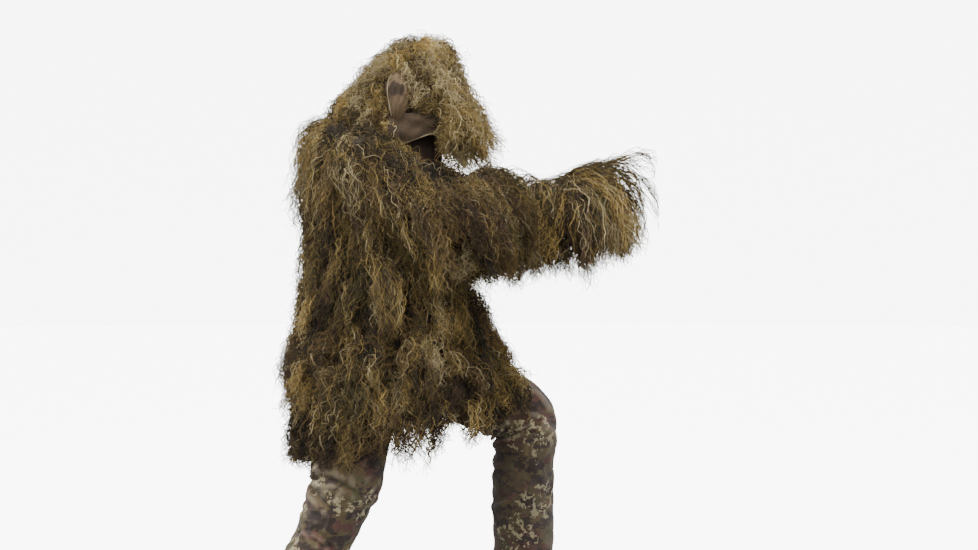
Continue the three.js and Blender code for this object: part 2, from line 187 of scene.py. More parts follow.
class Cone:
    """A round limb between two points, t from 0 to 1 along it. Before 0 it rounds off."""

    def __init__(self, start, end, first, last):
        self.start, self.end = np.array(start, float), np.array(end, float)
        self.first, self.last = first, last
        self.axis = unit(self.end - self.start)
        self.length = float(np.linalg.norm(self.end - self.start))
        self.across = unit(np.cross([0.0, 1.0, 0.0], self.axis))
        self.up = np.cross(self.axis, self.across)

    def out(self, angle):
        return np.cos(angle)[..., None] * self.across + np.sin(angle)[..., None] * self.up

    def tip(self, t):
        return np.clip(-t * self.length / self.first, 0, 0.98)

    def points(self, t, angle, off=0.0):
        taper = self.first + (self.last - self.first) * np.maximum(t, 0)
        r = (taper + off) * np.sqrt(1 - self.tip(t) ** 2)
        middle = self.start + (self.end - self.start) * t[..., None]
        return middle + r[..., None] * self.out(angle)

    def normals(self, t, angle):
        lean = self.tip(t)[..., None]
        return self.out(angle) * np.sqrt(1 - lean**2) - lean * self.axis

    def push(self, p, clear):
        along = np.clip(((p - self.start) @ self.axis) / self.length, 0, 1)
        q = self.start + (self.end - self.start) * along[..., None]
        r = self.first + (self.last - self.first) * along + clear
        away = p - q
        far = np.linalg.norm(away, axis=-1)
        grow = np.where(far < r, r / np.maximum(far, 1e-4), 1.0)
        return q + away * grow[..., None]


TORSO = Rings(
    [
        [-0.085, 0.050, 0.080, 0.115, 25],
        [-0.082, 0.025, 0.118, 0.172, 22],
        [-0.072, -0.025, 0.142, 0.205, 16],
        [-0.055, -0.110, 0.160, 0.216, 8],
        [-0.016, -0.300, 0.186, 0.222, 0],
        [0.010, -0.450, 0.225, 0.232, 0],
        [0.032, -0.600, 0.268, 0.255, 0],
        [0.056, -0.715, 0.296, 0.272, -6],
        [0.060, -0.800, 0.300, 0.280, -11],
    ]
)
HOOD = Rings(
    [
        [-0.040, 0.058, 0.116, 0.124, 25],
        [0.069, 0.112, 0.178, 0.130, 16],
        [0.073, 0.162, 0.150, 0.124, 13],
        [0.088, 0.215, 0.117, 0.105, 9],
        [0.108, 0.262, 0.084, 0.074, 5],
        [0.116, 0.302, 0.048, 0.042, 0],
        [0.118, 0.318, 0.020, 0.018, 0],
    ]
)
COLLAR = Rings([[-0.078, 0.056, 0.074, 0.092, 25], [-0.020, 0.118, 0.072, 0.084, 25]])
SEAT = Rings(
    [
        [-0.020, -0.436, 0.140, 0.170, 0],
        [-0.022, -0.520, 0.160, 0.190, 0],
        [-0.022, -0.620, 0.165, 0.203, 0],
        [-0.022, -0.700, 0.130, 0.188, 0],
        [-0.022, -0.735, 0.060, 0.120, 0],
    ]
)
CUFF_MIDDLE = 1.0575  # where the middle of a cuff lies between elbow and wrist


def wrist(side):
    elbow = pivot(f"elbow_{side}")
    return elbow + (centre(f"cuff_{side}") - elbow) / CUFF_MIDDLE


SHOULDER_DROP = np.array([0.0, 0.0, -0.018])
UPPER = {
    s: Cone(pivot(f"shoulder_{s}") + SHOULDER_DROP, pivot(f"elbow_{s}"), 0.088, 0.080) for s in SIDES
}
FORE = {s: Cone(pivot(f"elbow_{s}"), wrist(s), 0.078, 0.056) for s in SIDES}
# The yarn of each cuff falls forward as if over a hand this long.
HAND = {"right": 0.05, "left": 0.17}
REACH = {s: Cone(FORE[s].end, FORE[s].end + FORE[s].axis * HAND[s], 0.056, 0.046) for s in SIDES}
THIGH = {s: Cone(pivot(f"hip_{s}"), pivot(f"knee_{s}"), 0.112, 0.098) for s in SIDES}
SHIN_RADII = {"right": (0.097, 0.068), "left": (0.099, 0.092)}
SHIN = {s: Cone(pivot(f"knee_{s}"), centre(f"hem_{s}"), *SHIN_RADII[s]) for s in SIDES}


# ------ meshes


def new_object(name, mesh):
    obj = bpy.data.objects.new(name, mesh)
    bpy.context.scene.collection.objects.link(obj)
    return obj


def shade_smooth(mesh):
    mesh.polygons.foreach_set("use_smooth", np.ones(len(mesh.polygons), bool))


def mesh_from(name, points, quads, tris=np.zeros((0, 3), int)):
    """A mesh from arrays of points, four-cornered faces and three-cornered ones."""
    mesh = bpy.data.meshes.new(name)
    corners = np.concatenate([quads.ravel(), tris.ravel()]).astype(np.int32)
    sizes = np.concatenate([np.full(len(quads), 4), np.full(len(tris), 3)])
    starts = np.concatenate([[0], np.cumsum(sizes)[:-1]]).astype(np.int32)
    mesh.vertices.add(len(points))
    mesh.vertices.foreach_set("co", np.ascontiguousarray(points, np.float32).ravel())
    mesh.loops.add(len(corners))
    mesh.loops.foreach_set("vertex_index", corners)
    mesh.polygons.add(len(sizes))
    mesh.polygons.foreach_set("loop_start", starts)
    mesh.update(calc_edges=True)
    shade_smooth(mesh)
    return mesh


def grid_quads(rows, columns, around):
    i, j = np.mgrid[0 : rows - 1, 0 : columns if around else columns - 1]
    k = (j + 1) % columns
    corners = [i * columns + j, i * columns + k, (i + 1) * columns + k, (i + 1) * columns + j]
    return np.stack(corners, -1).reshape(-1, 4)


def tube_arrays(path, size, sides=3):
    """Closed tubes along paths, with a radius at each point: their points, quads and end caps."""
    count, points = path.shape[:2]
    first, second = frames(path)
    turn = (TAU * np.arange(sides) / sides)[None, None, :, None]
    ring = np.cos(turn) * first[:, :, None] + np.sin(turn) * second[:, :, None]
    verts = path[:, :, None] + ring * size[:, :, None, None]
    start = (np.arange(count) * points * sides)[:, None, None]
    k = (np.arange(points - 1) * sides)[None, :, None, None]
    side = np.arange(sides)[None, None, :, None]
    after = (side + 1) % sides
    steps = [side, after, sides + after, sides + side]
    quads = np.concatenate([start[..., None] + k + step for step in steps], -1).reshape(-1, 4)
    fan = np.array([[0, i + 1, i] for i in range(1, sides - 1)])
    head = (start + fan).reshape(-1, 3)
    tail = (start + (points - 1) * sides + fan[:, ::-1]).reshape(-1, 3)
    return verts.reshape(-1, 3), quads, np.concatenate([head, tail])


def apply_modifiers(obj):
    bpy.context.view_layer.update()
    shown = obj.evaluated_get(bpy.context.evaluated_depsgraph_get())
    mesh = bpy.data.meshes.new_from_object(shown)
    old = obj.data
    obj.modifiers.clear()
    obj.data = mesh
    bpy.data.meshes.remove(old)
    shade_smooth(obj.data)


def colour_layer(mesh, name, values):
    rgba = np.concatenate([values, np.ones((len(values), 1))], 1).astype(np.float32)
    layer = mesh.color_attributes.new(name, "FLOAT_COLOR", "POINT")
    layer.data.foreach_set("color", rgba.ravel())


LEAST_AREA = 0.31  # of a sheet's flat width times its length


def cloth(name, points, slot, body=None, replaces=(), around=True, thick=0.0016, blend=None,
          wear=None, material=None):
    """A sheet of cloth through a grid of points, with two faces and a rim."""
    rows, columns = points.shape[:2]
    mesh = mesh_from(name, points.reshape(-1, 3), grid_quads(rows, columns, around))
    if wear is not None:
        colour_layer(mesh, "wear", np.repeat(wear.reshape(-1, 1), 3, axis=1))
    obj = new_object(name, mesh)
    solid = obj.modifiers.new("thick", "SOLIDIFY")
    solid.thickness = thick
    solid.offset = -1
    apply_modifiers(obj)
    finish_piece(obj, slot, body, replaces, blend, material)
    # How large it is laid flat.
    grid = np.concatenate([points, points[:, :1]], 1) if around else points
    down, across = np.diff(grid, axis=0), np.diff(grid, axis=1)
    length = np.linalg.norm(down, axis=2).sum(0).max()
    width = np.linalg.norm(across, axis=2).sum(1).max()
    area = np.linalg.norm(np.cross(down[:, :-1], across[:-1]), axis=-1).sum()
    area = max(min(area, width * length), LEAST_AREA * width * length)


def finish_piece(obj, slot, body=None, replaces=(), blend=None, material=None):
    obj.data.materials.clear()
    obj.data.materials.append(material or MATERIALS[slot])
    if blend:
        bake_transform(obj)
    else:
        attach(obj, body)
    if replaces:
        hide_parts(*replaces)


STITCH = 0.0034  # length of a stitch
STITCH_GAP = 0.0022
STITCH_RADIUS = 0.00045


def stitches(name, line, body=None, blend=None, slot="lining", material=None):
    """A row of stitches that lies on a line of points."""
    length = run(line)
    starts = np.arange(0, length[-1] - STITCH, STITCH + STITCH_GAP)
    at = starts[:, None] + np.linspace(0, STITCH, 4)[None, :]
    path = np.stack([np.interp(at, length, line[:, k]) for k in range(3)], -1)
    size = np.full(path.shape[:2], STITCH_RADIUS) * np.array([0.4, 1, 1, 0.4])
    obj = new_object(name, mesh_from(name, *tube_arrays(path, size, 4)))
    finish_piece(obj, slot, body, blend=blend, material=material or THREAD)


# ------ materials


class Nodes:
    """A short way to write the nodes of a material, or of a world."""

    def __init__(self, owner, shader="Principled BSDF"):
        self.material = bpy.data.materials.new(owner) if isinstance(owner, str) else owner
        self.material.use_nodes = True
        self.tree = self.material.node_tree
        self.shader = self.tree.nodes[shader]

    def feed(self, socket, value):
        if isinstance(value, bpy.types.NodeSocket):
            self.tree.links.new(value, socket)
        else:
            socket.default_value = value

    def add(self, kind, inputs, **settings):
        node = self.tree.nodes.new(kind)
        for key, value in settings.items():
            setattr(node, key, value)
        for key, value in inputs.items():
            self.feed(node.inputs[key], value)
        return node

    def math(self, operation, a, b):
        return self.add("ShaderNodeMath", {0: a, 1: b}, operation=operation).outputs[0]

    def ramp(self, value, stops):
        node = self.add("ShaderNodeValToRGB", {"Fac": value})
        elements = node.color_ramp.elements
        while len(elements) < len(stops):
            elements.new(0.5)
        for element, (place, shade) in zip(elements, stops):
            element.position = place
            element.color = (shade, shade, shade, 1)
        return node.outputs[0]

    def mask(self, value, edge, soft=0.01):
        """1 where value is above edge, 0 below."""
        return self.ramp(value, [(edge - soft, 0.0), (edge + soft, 1.0)])

    def mix(self, share, a, b, blend="MIX"):
        a, b = ((*x, 1) if isinstance(x, tuple) else x for x in (a, b))
        node = self.add("ShaderNodeMix", {}, data_type="RGBA", blend_type=blend)
        for index, value in ((0, share), (6, a), (7, b)):
            self.feed(node.inputs[index], value)
        return node.outputs[2]

    def noise(self, vector, scale, detail=3.0, rough=0.55):
        inputs = {"Vector": vector, "Scale": scale, "Detail": detail, "Roughness": rough}
        return self.add("ShaderNodeTexNoise", inputs).outputs["Fac"]

    def scaled(self, vector, scale, operation="MULTIPLY"):
        inputs = {0: vector, 1: scale}
        return self.add("ShaderNodeVectorMath", inputs, operation=operation).outputs[0]

    def snapped(self, vector, size):
        """Places moved to a grid of small cubes, so that a pattern on them has stepped edges."""
        return self.scaled(vector, (size, size, size), "SNAP")

    def attribute(self, name, output):
        return self.add("ShaderNodeAttribute", {}, attribute_name=name).outputs[output]

    def place(self):
        return self.add("ShaderNodeTexCoord", {}).outputs["Object"]

    def set(self, **values):
        for key, value in values.items():
            self.feed(self.shader.inputs[key.replace("_", " ")], value)

    def bump(self, height, strength, distance):
        inputs = {"Strength": strength, "Distance": distance, "Height": height}
        self.set(Normal=self.add("ShaderNodeBump", inputs).outputs[0])

    def weave(self, place, size):
        """Threads crossing at right angles, as a height from 0 to 1."""
        inputs = {"Vector": place, "Scale": 1 / size, "Distortion": 0.6, "Detail": 1.0}
        first, second = (
            self.add("ShaderNodeTexWave", inputs, bands_direction=way).outputs["Fac"]
            for way in ("Z", "DIAGONAL")
        )
        return self.math("MULTIPLY", self.math("ADD", first, second), 0.5)


def srgb(*rgb):
    """Linear colour from 0 to 255 screen values."""
    c = np.array(rgb) / 255
    return tuple(float(x) for x in np.where(c <= 0.04045, c / 12.92, ((c + 0.055) / 1.055) ** 2.4))


def camouflage():
    n = Nodes("camouflage")
    place = n.place()
    cubes = n.snapped(place, 0.0042)
    # Large blotches lie sideways; pale flecks come in branching clusters.
    red = n.mask(n.noise(n.scaled(cubes, (1, 1, 1.7)), 9, 3.0, 0.6), 0.52)
    dark = n.mask(n.noise(n.scaled(cubes, (1.2, 1, 2.0)), 12, 3.0, 0.7), 0.53)
    cluster = n.mask(n.noise(n.scaled(place, (1, 1, 1.2)), 7, 1.0), 0.555, 0.03)
    fleck = n.noise(cubes, 48, 3.0, 0.7)
    pale = n.mask(n.math("MULTIPLY", cluster, fleck), 0.55)
    green = n.mask(n.noise(cubes, 21, 2.0, 0.6), 0.62)
    base = n.mix(red, srgb(90, 76, 50), srgb(84, 54, 46))
    # Wear above nothing is rubbed pale, and on the kneecap it is also a painted highlight; below nothing it is
    # painted shade, and darkens.
    wear = n.attribute("wear", "Fac")
    wear_and_painted_highlight, painted_shade = n.math("MULTIPLY", wear, 0.42), n.math("MULTIPLY", wear, -1.0)
    dust = n.ramp(n.noise(place, 9, 4.0), [(0.4, 0.0), (0.8, 0.25)])
    layers = (
        (green, srgb(74, 74, 44)),
        (dark, srgb(46, 33, 29)),
        (pale, srgb(176, 164, 128)),
        (wear_and_painted_highlight, srgb(150, 138, 116)),
        (painted_shade, srgb(36, 28, 23)),
        (dust, srgb(120, 106, 84)),
    )
    for share, shade in layers:
        base = n.mix(share, base, shade)
    n.set(Base_Color=base, Roughness=0.92, Sheen_Weight=0.12, Sheen_Roughness=0.6)
    n.bump(n.math("ADD", n.weave(place, 0.0011), n.noise(place, 160, 2.0)), 0.35, 0.0006)
    return n.material


def plain_cloth(name, light, dark, patch=None):
    """Cloth in two shades, given as screen colours, and perhaps with patches of a third."""
    n = Nodes(name)
    place = n.place()
    share = n.ramp(n.noise(place, 22, 4.0, 0.6), [(0.35, 0.0), (0.65, 1.0)])
    base = n.mix(share, srgb(*light), srgb(*dark))
    if patch:
        base = n.mix(n.mask(n.noise(n.snapped(place, 0.004), 20, 2.0), 0.57), base, srgb(*patch))
    n.set(Base_Color=base, Roughness=0.95)
    n.bump(n.math("ADD", n.weave(place, 0.0013), n.noise(place, 120, 2.0)), 0.4, 0.0007)
    return n.material


def yarn_material():
    """Twisted fibre whose colour is carried by each strand."""
    n = Nodes("yarn")
    fibre = n.ramp(n.noise(n.place(), 420, 2.0, 0.7), [(0.3, 0.42), (0.75, 1.0)])
    base = n.mix(0.7, n.attribute("tint", "Color"), fibre, "MULTIPLY")
    n.set(Base_Color=base, Roughness=0.95)
    n.set(Sheen_Weight=0.10, Sheen_Roughness=0.5, Sheen_Tint=(0.8, 0.7, 0.45, 1))
    return n.material


def speckled(name, light, dark, scale=300, rough=0.85):
    n = Nodes(name)
    n.set(Base_Color=n.mix(n.noise(n.place(), scale), light, dark), Roughness=rough)
    return n.material


def metal():
    n = Nodes("blackened_metal")
    wear = n.noise(n.place(), 350, 3.0)
    worn = n.ramp(wear, [(0.45, 0.0), (0.7, 1.0)])
    n.set(Base_Color=n.mix(worn, (0.02, 0.018, 0.014), (0.16, 0.12, 0.06)))
    n.set(Metallic=0.9, Roughness=n.ramp(wear, [(0.3, 0.55), (0.7, 0.3)]))
    return n.material


MATERIALS = {
    "yarn": yarn_material(),
    "camouflage_cloth": camouflage(),
    "jacket_cloth": plain_cloth("jacket_cloth", (112, 94, 70), (80, 62, 46), (58, 46, 34)),
    "lining": plain_cloth("lining", (66, 50, 40), (44, 33, 26)),
    "zip_metal": metal(),
    "button": speckled("button_plastic", (0.03, 0.025, 0.016), (0.05, 0.04, 0.025), 200, 0.5),
}
THREAD = speckled("seam_thread", srgb(168, 156, 124), srgb(126, 112, 82))
DARK_THREAD = speckled("trouser_thread", srgb(96, 84, 62), srgb(70, 60, 44))
NET = plain_cloth("yarn_net", (60, 50, 36), (36, 30, 22))  # the cloth under the yarn
# The bare edge's cloth is darker than the jacket's: painted shade from the hood above.
EDGE_IN_PAINTED_SHADE = plain_cloth("hood_edge", (84, 68, 50), (56, 46, 34))


# ------ yarn

SEGMENTS = 16  # of a strand
STRAND_RADIUS = 0.00105
STRAYS = 0.12  # share of a lock's strands that stand away from it
# Screen colours of the strands, and how often each is used, from dark to light.
PALETTE = (
    ((38, 35, 27), 0.10),  # black green
    ((80, 62, 44), 0.17),  # brown
    ((90, 82, 50), 0.14),  # moss
    ((122, 100, 64), 0.23),  # khaki
    ((148, 126, 74), 0.18),  # olive
    ((184, 156, 94), 0.11),  # gold
    ((208, 190, 146), 0.07),  # straw
)
COLOURS = np.array([srgb(*colour) for colour, _ in PALETTE])
SHARES = np.array([share for _, share in PALETTE])
ARMS = (*UPPER.values(), *FORE.values(), *REACH.values())
CLOSE = 0.012  # how far yarn stands off a part of the suit that it only falls on


def slide(p, clear, home):
    """p, moved out of everything that the yarn slides over. It stands clear of where it grows."""
    for shape in (TORSO, HOOD, *THIGH.values(), *ARMS):
        own = shape is home or (home in ARMS and shape in ARMS)
        p = shape.push(p, clear if own else np.minimum(clear, CLOSE))
    return p


def hang(home, root, way, length, clear, drift, wild, seed, stiff=0.62, settle=0.0):
    """Paths of yarn that leave root along way, then droop and slide over the suit.

    They stand clear of it, and settle is the share of that they lose towards their tips.
    """
    r = np.random.default_rng(seed)
    step = (length / SEGMENTS)[:, None]
    path = np.zeros((len(root), SEGMENTS + 1, 3))
    path[:, 0] = root
    heading = unit(way)
    pull = unit(DOWN + np.array(drift) + r.normal(0, 0.2, (len(root), 3)))
    for k in range(SEGMENTS):
        shake = r.normal(0, wild, (len(root), 3))
        heading = unit(stiff * heading + (1 - stiff) * pull + shake)
        ahead = slide(path[:, k] + heading * step, clear * (1 - settle * k / SEGMENTS), home)
        heading = unit(ahead - path[:, k])
        path[:, k + 1] = path[:, k] + heading * step
    return path


def frames(path):
    """Two directions across a path at each of its points."""
    along = unit(np.gradient(path, axis=1))
    ref = np.array([0.31, 0.86, 0.4])  # no strand runs along this
    first = unit(ref - (ref * along).sum(-1, keepdims=True) * along)
    return first, np.cross(along, first)


def gather(guides, spacing, strength, seed):
    """Locks drawn together towards their tips into tufts, with the number of each one's tuft."""
    r = np.random.default_rng(seed)
    middle = guides[:, guides.shape[1] // 2]
    heads = []
    for i in r.permutation(len(guides)):
        if not heads or np.linalg.norm(middle[heads] - middle[i], axis=1).min() > spacing:
            heads.append(i)
    far = np.linalg.norm(middle[:, None] - middle[heads][None], axis=2)
    tuft = far.argmin(1)
    s = np.linspace(0, 1, guides.shape[1])[None, :, None]
    pull = strength * smooth(s, 0.1, 1.0) * r.uniform(0.5, 1.0, (len(guides), 1, 1))
    return guides + (guides[heads][tuft] - guides) * pull, tuft


def join(first, second):
    """Two lots of guides with their tufts' numbers, as one."""
    guides = np.concatenate([first[0], second[0]])
    return guides, np.concatenate([first[1], second[1] + first[1].max() + 1])


def strands_of(guides, trim, per_lock, radius, curl, seed):
    """Strands round each guide: bundled at the root, frayed at the tip, and curly all along."""
    r = np.random.default_rng(seed)
    points = guides.shape[1]
    path = np.repeat(guides, per_lock, axis=0)
    total = len(path)
    stray = r.uniform(0, 1, total) < STRAYS
    share = np.where(stray, r.uniform(0.3, 0.65, total), r.uniform(0.66, 1.0, total))
    at = np.linspace(0, points - 1, points)[None, :] * (share * np.repeat(trim, per_lock))[:, None]
    low = np.minimum(np.floor(at).astype(int), points - 2)
    row = np.arange(total)[:, None]
    path = path[row, low] + (path[row, low + 1] - path[row, low]) * (at - low)[..., None]
    first, second = frames(path)
    s = np.linspace(0, 1, points)[None, :]
    out = radius * np.sqrt(r.uniform(0, 1, total)) * np.where(stray, 1.6, 1.0)
    turn = r.uniform(0, TAU, total)[:, None] + r.normal(0, 1.6, total)[:, None] * s
    spread = out[:, None] * (0.8 - 0.3 * smooth(s, 0.1, 0.6) + 0.5 * smooth(s, 0.6, 1.0))
    across = np.stack([np.cos(turn), np.sin(turn)], -1) * spread[..., None]
    # A slow wander, then tighter kinks.
    for size, controls in ((1.5 * curl, 6), (1.4 * curl, 11), (1.4 * curl, points + 1)):
        sway = r.normal(0, size, (total, controls, 2)) * r.uniform(0.5, 1.5, (total, 1, 1))
        swing = np.einsum("pc,tcx->tpx", spline_weights(controls, points), sway)
        across = across + swing * smooth(s, 0, 0.2)[..., None]
    return path + across[..., :1] * first + across[..., 1:] * second, stray


def strand_mesh(name, path, tint, thin, seed):
    """Three-sided tubes along the paths, each with its colour and a cell of a texture map."""
    r = np.random.default_rng(seed)
    count, points = path.shape[:2]
    s = np.linspace(0, 1, points)
    size = STRAND_RADIUS * r.uniform(0.7, 1.3, (count, 1)) * (1 - 0.5 * s**3)[None, :]
    size = size * np.where(thin, 0.7, 1.0)[:, None]
    mesh = mesh_from(name, *tube_arrays(path, size))
    # Darker at the root, paler at the frayed tip.
    shade = 0.5 + 0.5 * smooth(s, 0.0, 0.35) + 0.15 * smooth(s, 0.6, 1.0)
    colour = tint[:, None, :] * shade[None, :, None]
    colour_layer(mesh, "tint", np.repeat(colour[:, :, None, :], 3, axis=2).reshape(-1, 3))
    # Each strand has a cell of the map: its sides are three columns, its length the rows.
    cells, margin = math.ceil(math.sqrt(count)), 0.08
    cell, row = 1 / cells, points - 1
    inner = cell * (1 - 2 * margin)
    bit = inner / 3
    x0 = (np.arange(count) % cells + margin) * cell
    y0 = (np.arange(count) // cells + margin) * cell
    left = x0[:, None, None] + inner * np.arange(3) / 3
    low = y0[:, None, None] + inner * np.arange(row)[:, None] / row
    right, high = left + bit, low + inner / row
    corners = [(left, low), (right, low), (right, high), (left, high)]
    sides = [np.stack(np.broadcast_arrays(*corner), -1) for corner in corners]
    ends = []
    for y, rise in ((y0, bit / 3), (y0 + inner, -bit / 3)):
        caps = [(x0, y), (x0 + bit, y), (x0, y + rise)]
        ends.append(np.stack([np.stack(c, -1) for c in caps], 1).reshape(-1, 2))
    uv = np.concatenate([np.stack(sides, -2).reshape(-1, 2), *ends]).astype(np.float32)
    mesh.uv_layers.new(name="OFBake").data.foreach_set("uv", uv.ravel())
    return new_object(name, mesh)


# Hollows where the yarn is darker with painted shade, and spots where it is paler with painted highlights where
# the light falls: place, size, tone.
PAINTED_SHADE_AND_HIGHLIGHTS = [
    ((0.00, -0.20, 0.03), 0.045, -1.8),
    ((0.13, -0.20, -0.11), 0.040, -2.6),
    ((0.12, -0.28, -0.09), 0.055, -2.6),
    ((0.04, -0.27, -0.10), 0.035, -2.4),
    ((0.19, -0.29, -0.10), 0.045, -2.2),
    ((-0.03, -0.29, -0.15), 0.045, 1.6),
    ((0.08, -0.32, -0.16), 0.045, 1.6),
    ((0.16, -0.33, -0.18), 0.040, 1.2),
    ((0.05, -0.22, 0.01), 0.045, 1.5),
    ((0.08, -0.23, -0.03), 0.035, 1.3),
    ((-0.12, -0.20, -0.44), 0.055, -2.6),
    ((0.10, -0.25, -0.40), 0.050, -2.6),
    ((0.29, -0.33, -0.22), 0.060, -1.0),
    ((0.07, -0.30, -0.20), 0.050, 1.0),
    ((0.17, -0.33, -0.28), 0.050, 0.6),
    ((-0.15, -0.20, -0.25), 0.070, 0.5),
    ((0.00, -0.25, -0.48), 0.060, -0.2),
    ((-0.18, -0.20, -0.75), 0.080, 0.4),
]


def pick_colours(guides, tuft, per_lock, seed, light):
    """A colour for each strand: most of a tuft's are alike, and pale and dark patches drift over."""
    r = np.random.default_rng(seed)
    tufts = tuft.max() + 1
    middle = guides[:, 3]
    place = np.zeros((tufts, 3))
    np.add.at(place, tuft, middle)
    place = place / np.maximum(np.bincount(tuft, minlength=tufts), 1)[:, None]
    lean = light + 0.4 * patches(place, 0.12, 11) + r.normal(0, 0.6, tufts)
    # Painted shade darkens the hollows, and painted highlights pale the lit lumps.
    for spot, size, painted_tone in PAINTED_SHADE_AND_HIGHLIGHTS:
        lean = lean + painted_tone * bump(np.linalg.norm(place - spot, axis=1), 0, size)
    weight = SHARES[None] * np.exp(lean[:, None] * np.linspace(-1.3, 1.3, len(SHARES))[None])
    edge = np.cumsum(weight / weight.sum(1, keepdims=True), axis=1)
    main = (r.uniform(0, 1, (tufts, 1)) > edge).sum(1)
    own = np.repeat(tuft, per_lock)
    alike = main[own]
    free = (r.uniform(0, 1, (len(own), 1)) > edge[own]).sum(1)
    pick = np.where(r.uniform(0, 1, len(own)) < 0.5, alike, free).clip(0, len(COLOURS) - 1)
    vary = r.normal(1, 0.18, tufts)[own][:, None] * r.normal(1, 0.14, (len(own), 1))
    return np.clip(COLOURS[pick] * vary, 0.002, 0.9)


MOST_STRANDS = 2000  # in one piece
STRAND_CLEAR = 0.002  # least distance of a strand from the shapes below
SHORTEST = 0.3  # locks trimmed to less than this share of their length are left out
SPARE = np.array([0.026, 0.026, 0.055])  # how far a strand may pass the outermost pieces


def within(path):
    """The path with its furthest parts pressed in gently, so that none goes too far out."""
    soft = 0.05  # the pressing sets in over this distance
    low, high = np.array(CAD_BOX[0]) - SPARE + soft, np.array(CAD_BOX[1]) + SPARE - soft
    inner = np.clip(path, low, high)
    return inner + soft * np.tanh((path - inner) / soft)


def yarn_piece(body, node, locks, seed, floor, light, per_lock=12, radius=0.012, curl=0.0058):
    """The strands of one stretch of yarn. floor gives the lowest place for a tip at each point."""
    guides, tuft = locks
    uneven = np.random.default_rng(seed + 9).normal(0, 0.018, tuft.max() + 1)[tuft, None]
    below = guides[..., 2] < floor(guides) + uneven
    trim = np.where(below.any(1), below.argmax(1), guides.shape[1]) / guides.shape[1]
    keep = trim > SHORTEST
    guides, tuft, trim = guides[keep], tuft[keep], trim[keep]
    path, stray = strands_of(guides, trim, per_lock, radius, curl, seed)
    path = within(slide(path, STRAND_CLEAR, None))
    tint = pick_colours(guides, tuft, per_lock, seed + 1, light)
    parts = math.ceil(len(path) / MOST_STRANDS)
    for k, index in enumerate(np.array_split(np.arange(len(path)), parts)):
        label = f"{node}_strands" if parts == 1 else f"{node}_strands_{k + 1}"
        obj = strand_mesh(label, path[index], tint[index], stray[index], seed + 2 + k)
        finish_piece(obj, "yarn", body, [node] if k == 0 else ())


def lock_roots(shape, t_range, angle_range, spacing, r):
    """Places for locks, spread evenly over part of a shape in uneven rows."""
    t = np.linspace(*t_range, 400)
    middle = shape.points(t, np.full_like(t, sum(angle_range) / 2))
    length = run(middle)
    rows = max(2, round(length[-1] / spacing))
    width = angle_range[1] - angle_range[0]
    ts, angles = [], []
    for k in range(rows):
        here = np.interp((k + 0.5) / rows * length[-1], length, t)
        ring = shape.points(np.full(60, here), np.linspace(*angle_range, 60))
        number = max(1, round(run(ring)[-1] / spacing))
        spots = (np.arange(number) + r.uniform(-0.2, 1.2, number)) / number
        angles.append(angle_range[0] + spots * width)
        ts.append(here + r.normal(0, 0.3, number) * (t_range[1] - t_range[0]) / rows)
    return np.clip(np.concatenate(ts), *t_range), np.clip(np.concatenate(angles), *angle_range)


BURIED = 0.025  # no lock grows where the root would be this deep in another part


def grow(shape, t_range, angle_range, spacing, length, lift, seed, avoid=(), skip=None,
         out=0.7, drift=(0, 0, 0), along=0.0, wild=0.10, tufts=0.055, draw=0.6, more=None,
         stiff=0.62, fall=0.5, settle=0.0):
    """Guides of locks over part of a shape, with the number of each one's tuft.

    more gives how much further the locks stand off at each root.
    """
    r = np.random.default_rng(seed)
    t, angle = lock_roots(shape, t_range, angle_range, spacing, r)
    root = shape.points(t, angle)
    buried = np.zeros(len(root), bool)
    for other in avoid:
        buried |= np.linalg.norm(other.push(root, -BURIED) - root, axis=1) > 1e-6
    if skip:
        buried |= skip(root)
    t, angle, root = t[~buried], angle[~buried], root[~buried]
    normal = shape.normals(t, angle)
    way = unit(normal * out + DOWN * fall + r.normal(0, 0.25, root.shape))
    if along:
        way = unit(way + shape.axis * along)
    lengths = r.uniform(*length, len(root))
    clear = r.uniform(*lift, len(root)) * (1 if more is None else more(root, normal))
    guides = hang(shape, root, way, lengths, clear, drift, wild, seed + 5, stiff, settle)
    return gather(guides, tufts, draw, seed + 6)


FRONT, SIDE_SEAM = math.radians(8), math.radians(88.5)


def lengths(edge):
    """The jacket's left front, back and right front, as angles round it. edge is by the zip."""
    return (edge, SIDE_SEAM), (SIDE_SEAM, TAU - SIDE_SEAM), (-SIDE_SEAM, -edge)


# Rows of the torso, lengths of the locks, how far they stand off, and how pale they are.
TIERS = {
    "yoke": ((0.15, 3.0), (0.15, 0.25), (0.006, 0.045), 0.25),
    "chest": ((3.0, 5.0), (0.13, 0.22), (0.004, 0.042), -0.1),
    "waist": ((5.0, 7.0), (0.11, 0.19), (0.002, 0.034), 0.0),
    "skirt": ((7.0, 8.0), (0.13, 0.21), (0.002, 0.028), -0.45),
}


def hem_line(p):
    """The lowest place for the jacket's yarn: higher at the front, and uneven."""
    places = [-0.3, -0.1, 0.12, 0.15, 0.18, 0.23, 0.26, 0.31, 0.34, 0.45]
    levels = [-0.955, -0.915, -0.91, -0.90, -0.80, -0.79, -0.86, -0.85, -0.80, -0.775]
    return np.interp(p[..., 0], places, levels) + 0.016 * patches(p * [1, 1, 0], 0.16, 21)


def sleeve_line(p):
    """The lowest place for a sleeve's yarn."""
    places, levels = [0.05, 0.2, 0.35, 0.5, 0.62, 0.78], [-0.50, -0.45, -0.40, -0.37, -0.40, -0.30]
    return np.interp(p[..., 0], places, levels) + 0.02 * patches(p * [1, 1, 0], 0.14, 22)


def cheek_line(p):
    """Where the hood's yarn stops above the bare edge on its right side, and elsewhere a drop."""
    over_edge = (p[..., 1] < -0.05) & (p[..., 0] > 0.03) & (p[..., 0] < 0.165)
    return np.where(over_edge, 0.070, -0.085 + 0.035 * patches(p * [1, 1, 0], 0.07, 23))


